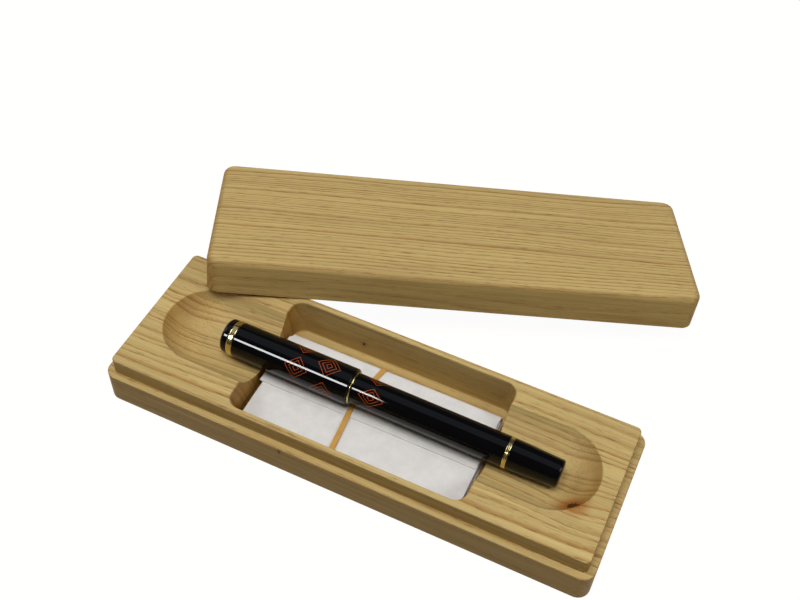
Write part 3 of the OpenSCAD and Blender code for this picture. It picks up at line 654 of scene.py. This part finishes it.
class PENCASE_OT_papers(bpy.types.Operator):
    """Makes the sleeve, the folded sheets in it and the elastic band"""
    bl_idname = "pen_case.papers"
    bl_label = "Papers"

    def execute(self, context):
        settings = context.scene.pen_case_papers
        low, high = node_box("paper_wrapper")
        self.sleeve(low, high, settings)
        self.sheets(low, high, settings)
        self.band(low, high, settings)
        return {"FINISHED"}

    def sleeve(self, low, high, settings):
        """One sheet, folded round the bundle: its path across the bundle is drawn out along X and then thickened."""
        thick = 0.34 * MM
        fold = 1.9 * MM
        top, bottom = high.z, low.z
        under = top - thick * 1.15
        front, back = low.y + fold, high.y - fold
        flap_edge = low.y + 20.6 * MM
        # (y, z, whether it is the flap): the inner turn starts on top behind the flap's edge and runs to the front
        inner_start = low.y + 33 * MM
        path = [(inner_start + (front - inner_start) * k / 23, under, False) for k in range(24)]
        self.corner(path, front, under - fold, fold, pi / 2, pi)
        self.corner(path, front, bottom + fold, fold, pi, 1.5 * pi)
        path += [(front + (back - front) * k / 24, bottom, False) for k in range(1, 24)]
        self.corner(path, back, bottom + fold, fold, 1.5 * pi, 2 * pi)
        self.corner(path, back, top - fold, fold, 0, pi / 2)
        path += [(back + (flap_edge - back) * k / 24, top, True) for k in range(1, 25)]

        def sag(x, y, t, is_flap):
            """How far the paper's top bulges, waves, and dips behind the flap's edge and under the band."""
            across = (y - low.y) / (high.y - low.y)
            lift = 0.22 * sin(pi * min(1, max(0, across))) * (0.6 + 0.4 * sin(pi * t))
            lift += 0.05 * sin(11 * t + 7 * across)
            if not is_flap and y < flap_edge:
                lift -= 0.25 * max(0.0, 1 - abs(y - flap_edge) / (6 * MM))
            lift -= 0.16 * max(0.0, 1 - abs(x + 6.5 * MM) / (5 * MM))
            return lift * MM

        columns = 72
        work = bmesh.new()
        rows = []
        for i, (y, z, is_flap) in enumerate(path):
            # the sheet was cut a little out of square, and its layers don't quite cover each other
            ripple = 0.2 * MM * sin(9 * i / (len(path) - 1))
            left = low.x - (0.9 * MM if is_flap else -0.35 * MM) + ripple
            right = high.x - (0.45 * MM if z > bottom + fold else 0) - (0.3 * MM if is_flap else 0)
            row = []
            for k in range(columns + 1):
                t = k / columns
                x = left + (right - left) * t
                lift = sag(x, y, t, is_flap) if z > under - 0.2 * MM else 0
                row.append(work.verts.new((x, y, z + lift)))
            rows.append(row)
        for a, b in zip(rows, rows[1:]):
            for k in range(columns):
                work.faces.new((a[k], a[k + 1], b[k + 1], b[k]))
        mesh = bpy.data.meshes.new("Sleeve")
        bmesh.ops.recalc_face_normals(work, faces=work.faces)
        work.to_mesh(mesh)
        work.free()
        sheet = bpy.data.objects.new("Sleeve sheet", mesh)
        bpy.context.scene.collection.objects.link(sheet)
        shell = sheet.modifiers.new("Thickness", "SOLIDIFY")
        shell.thickness = thick
        shell.offset = -1
        shell.use_even_offset = True
        new_piece("Paper_sleeve", sharpen(evaluated_mesh(sheet), 50), "papers_body", ["paper_wrapper"],
                  paper("Sleeve paper", settings.sleeve, 0.10))

    @staticmethod
    def corner(path, y, z, r, start, end):
        """Adds a quarter turn to the sleeve's path."""
        for k in range(1, 9):
            angle = start + (end - start) * k / 8
            path.append((y + r * cos(angle), z + r * sin(angle), False))

    def sheets(self, low, high, settings):
        """Folded sheets, one over the other: a Geometry Nodes tree stacks flat sheets, each a little out of line."""
        # room for the sleeve's paper below, and for its two layers and their sag above
        inside_low = low + Vector((0, 0.75, 0.75)) * MM
        inside_high = high - Vector((0, 0.75, 1.35)) * MM
        pitch = (inside_high.z - inside_low.z) / settings.sheet_count
        tree, given = new_tree("Sheet stack", Sheets="Int", Length="Float", Width="Float", Thickness="Float",
                               Pitch="Float", Material="Material")
        up = put(tree, "ShaderNodeCombineXYZ", {2: given["Pitch"]})
        line = put(tree, "GeometryNodeMeshLine", {"Count": given["Sheets"], "Offset": up})
        size = put(tree, "ShaderNodeCombineXYZ", (given["Length"], given["Width"], given["Thickness"]))
        sheet = put(tree, "GeometryNodeMeshCube", {"Size": size, "Vertices X": 2, "Vertices Y": 24, "Vertices Z": 2})
        number = put(tree, "GeometryNodeInputIndex")
        jog = put(tree, "FunctionNodeRandomValue", {0: (-0.35 * MM, -0.12 * MM, 0), 1: (0.35 * MM, 0.12 * MM, 0),
                                                    "ID": number, "Seed": 4}, data_type="FLOAT_VECTOR")
        turn = put(tree, "FunctionNodeRandomValue", {0: (0, 0, -0.004), 1: (0, 0, 0.004), "ID": number, "Seed": 9},
                   data_type="FLOAT_VECTOR")
        moved = put(tree, "GeometryNodeSetPosition", {"Geometry": line, "Offset": jog})
        stack = put(tree, "GeometryNodeInstanceOnPoints", {"Points": moved, "Instance": sheet, "Rotation": turn})
        finish_tree(tree, stack, given["Material"])
        mesh = run_tree(tree, {"Sheets": settings.sheet_count, "Length": high.x - low.x - 1.4 * MM,
                               "Width": inside_high.y - inside_low.y - 1.2 * MM, "Thickness": pitch * 0.82,
                               "Pitch": pitch, "Material": paper("Sheet paper", settings.sheets, 0.02)})
        centre = Vector(((low.x + high.x) / 2, (inside_low.y + inside_high.y) / 2, inside_low.z + pitch / 2))
        mesh.transform(Matrix.Translation(centre))
        new_piece("Folded_sheets", sharpen(mesh, 30), "papers_body", ["folded_leaflet"])

    def band(self, low, high, settings):
        """The band follows its path round the papers: a Geometry Nodes tree sweeps its flat section along a curve."""
        thick = 0.48 * MM
        bend = 2.1 * MM
        top, bottom = high.z + 0.20 * MM, low.z - 0.26 * MM
        front, back = low.y - 0.27 * MM, high.y + 0.27 * MM
        flat = back - front - 2 * bend
        # how the band wanders along X on its way from the front to the back, in millimetres: (y, x)
        wander = ((-26.8, -5.9), (-21.7, -6.3), (-11.7, -7.1), (-1.6, -7.9), (5.0, -7.3), (14.7, -5.4), (20.8, -4.1))
        path = []

        def x_at(y):
            y /= MM
            for (y0, x0), (y1, x1) in zip(wander, wander[1:]):
                if y <= y1 or y1 == wander[-1][0]:
                    t = min(1, max(0, (y - y0) / (y1 - y0)))
                    return (x0 + (x1 - x0) * t) * MM

        def add(y, z):
            path.append((x_at(y), y, z))

        for k in range(25):
            y = front + bend + flat * k / 24
            add(y, top + 0.16 * MM * sin(pi * (y - low.y) / (high.y - low.y)))
        quarter = [(bend * sin(pi / 2 * k / 6), bend * cos(pi / 2 * k / 6)) for k in range(7)]
        for s, c in quarter[1:]:
            add(back - bend + s, top - bend + c)
        for s, c in quarter[1:]:
            add(back - bend + c, bottom + bend - s)
        for k in range(1, 12):
            add(back - bend - flat * k / 12, bottom)
        for s, c in quarter:
            add(front + bend - s, bottom + bend - c)
        for s, c in quarter[:6]:
            add(front + bend - c, top - bend + s)
        curve = bpy.data.curves.new("Band path", "CURVE")
        curve.dimensions = "3D"
        spline = curve.splines.new("POLY")
        spline.points.add(len(path) - 1)
        for point, place in zip(spline.points, path):
            point.co = (*place, 1)
        spline.use_cyclic_u = True
        guide = bpy.data.objects.new("Band path", curve)
        bpy.context.scene.collection.objects.link(guide)
        tree, given = new_tree("Band along path", Path="Object", Width="Float", Thickness="Float", Material="Material")
        route = put(tree, "GeometryNodeObjectInfo", {"Object": given["Path"]}, transform_space="RELATIVE")
        smooth = put(tree, "GeometryNodeResampleCurve", {"Curve": route.outputs["Geometry"], "Count": 220})
        upright = put(tree, "GeometryNodeSetCurveNormal", {"Curve": smooth}, mode="MINIMUM_TWIST")
        section = put(tree, "GeometryNodeCurvePrimitiveQuadrilateral", {"Width": given["Width"],
                                                                        "Height": given["Thickness"]})
        softened = put(tree, "GeometryNodeFilletCurve", {"Curve": section, "Radius": 0.13 * MM, "Count": 3},
                       mode="POLY")
        swept = put(tree, "GeometryNodeCurveToMesh", {"Curve": upright, "Profile Curve": softened})
        finish_tree(tree, swept, given["Material"])
        mesh = run_tree(tree, {"Path": guide, "Width": settings.band_width, "Thickness": thick,
                               "Material": rubber_band()})
        bpy.data.objects.remove(guide)
        new_piece("Elastic_band", sharpen(mesh, 40), "papers_body", ["elastic_band"])


class PENCASE_OT_cap(bpy.types.Operator):
    """Makes the cap: its lacquered tube and crown, the gold ring and the clip"""
    bl_idname = "pen_case.cap"
    bl_label = "Cap"

    def execute(self, context):
        plain = black_lacquer("Black lacquer")
        motif = {"start": 28.0 * MM, "end": 52.0 * MM, "rows": 2, "radius": 7.35 * MM}
        drawn = black_lacquer("Black lacquer with lozenges", motif)
        bright = gold("Gold plate", 0.16)
        turned("Cap_tube", [(6.12, 2.7), (6.12, 7.13, 0.15), (56.2, 7.42, 1.15), (56.2, 6.35, 0.5), (55.0, 5.91, 0.2),
                            (8.5, 5.91, 0.3), (8.5, 2.7)],
               "cap_body", drawn, ["cap_tube"])
        turned("Cap_crown", [(0, 0, 0), (0.25, 4.6, 0), (0.62, 6.3, 0.5), (1.5, 6.95, 0.9), (3.38, 7.0, 0.12),
                             (3.38, 2.6), (8.45, 2.6), (8.45, 0, 0)],
               "cap_body", plain, ["cap_crown"])
        dress("clip_ring", bright)
        dress("clip", bright)
        dress("inner_cap", plain_plastic("Inner cap ABS", "#141415", 0.4))
        return {"FINISHED"}


class PENCASE_OT_barrel(bpy.types.Operator):
    """Makes the barrel, its two gold rings and its tail"""
    bl_idname = "pen_case.barrel"
    bl_label = "Barrel"

    def execute(self, context):
        plain = bpy.data.materials["Black lacquer"]
        bright = bpy.data.materials["Gold plate"]
        motif = {"start": 59.0 * MM, "end": 72.0 * MM, "rows": 1, "radius": 6.15 * MM}
        drawn = black_lacquer("Black lacquer with small lozenges", motif)
        turned("Barrel", [(49.2, 4.75), (49.2, 5.7, 0.2), (49.8, 5.84, 0.1), (57.08, 5.84), (57.1, 6.0, 0.1),
                          (57.45, 6.15, 0.2), (119.8, 6.17, 0.08), (119.8, 4.75)],
               "barrel_body", drawn, ["barrel"])
        turned("Barrel_front_ring", [(56.24, 5.9), (56.24, 6.5, 0.25), (56.66, 6.68, 0.3), (57.06, 6.5, 0.25),
                                     (57.06, 5.9)],
               "barrel_body", bright, ["barrel_front_ring"])
        turned("Tail_ring", [(119.83, 4.78), (119.83, 6.18, 0.08), (120.0, 6.27, 0.12), (120.45, 6.27, 0.1),
                             (120.6, 6.14, 0.06), (120.75, 6.27, 0.1), (121.2, 6.27, 0.12), (121.37, 6.18, 0.08),
                             (121.37, 4.78)],
               "barrel_body", bright, ["tail_ring"])
        turned("Barrel_tail", [(121.4, 4.7), (121.4, 6.08, 0.08), (126.0, 6.0, 0), (133.5, 5.74, 0),
                               (141.0, 5.46, 1.3), (141.45, 4.1, 0.8), (141.5, 0, 0), (125.8, 0, 0), (125.8, 4.1),
                               (113.8, 4.1), (113.8, 4.7)],
               "barrel_body", plain, ["barrel_tail"])
        return {"FINISHED"}


class PENCASE_OT_writing_end(bpy.types.Operator):
    """Finishes the section, the nib and the feed under the cap"""
    bl_idname = "pen_case.writing_end"
    bl_label = "Writing end"

    def execute(self, context):
        dress("section", bpy.data.materials["Black lacquer"])
        dress("section_ring", bpy.data.materials["Gold plate"])
        dress("nib", gold("Nib gold", 0.12))
        dress("feed", plain_plastic("Feed ABS", "#1B1A1A", 0.5))
        return {"FINISHED"}


class PENCASE_OT_converter(bpy.types.Operator):
    """Finishes the ink converter in the barrel"""
    bl_idname = "pen_case.converter"
    bl_label = "Ink converter"

    def execute(self, context):
        black = plain_plastic("Converter ABS", "#161616", 0.35)
        plated = steel()
        for node, material in (("converter_nozzle", black), ("converter_tube", clear_styrene()),
                               ("converter_band", plated), ("converter_knob", black), ("piston_rod", plated),
                               ("piston_head", black), ("piston_seal", plain_plastic("Seal rubber", "#2A2A2B", 0.6))):
            dress(node, material)
        return {"FINISHED"}


class PENCASE_PT_panel(bpy.types.Panel):
    """Lists the steps and the sizes of the pen case"""
    bl_idname = "PENCASE_PT_panel"
    bl_label = "Pen Case"
    bl_space_type = "VIEW_3D"
    bl_region_type = "UI"
    bl_category = "Pen Case"

    def draw(self, context):
        layout = self.layout
        for step in STEPS:
            layout.operator(step.bl_idname)
        for group in (context.scene.pen_case_wood, context.scene.pen_case_papers, context.scene.pen_case_pen):
            for name in group.__annotations__:
                layout.prop(group, name)


STEPS = (PENCASE_OT_stage, PENCASE_OT_case, PENCASE_OT_papers, PENCASE_OT_cap, PENCASE_OT_barrel,
         PENCASE_OT_writing_end, PENCASE_OT_converter)
CLASSES = (WoodSettings, PaperSettings, PenSettings, *STEPS, PENCASE_PT_panel)


def register():
    for item in CLASSES:
        bpy.utils.register_class(item)
    bpy.types.Scene.pen_case_wood = PointerProperty(type=WoodSettings)
    bpy.types.Scene.pen_case_papers = PointerProperty(type=PaperSettings)
    bpy.types.Scene.pen_case_pen = PointerProperty(type=PenSettings)


def unregister():
    del bpy.types.Scene.pen_case_pen
    del bpy.types.Scene.pen_case_papers
    del bpy.types.Scene.pen_case_wood
    for item in reversed(CLASSES):
        bpy.utils.unregister_class(item)


def main():
    register()
    for step in STEPS:
        group, name = step.bl_idname.split(".")
        getattr(getattr(bpy.ops, group), name)()


if __name__ == "__main__":
    main()
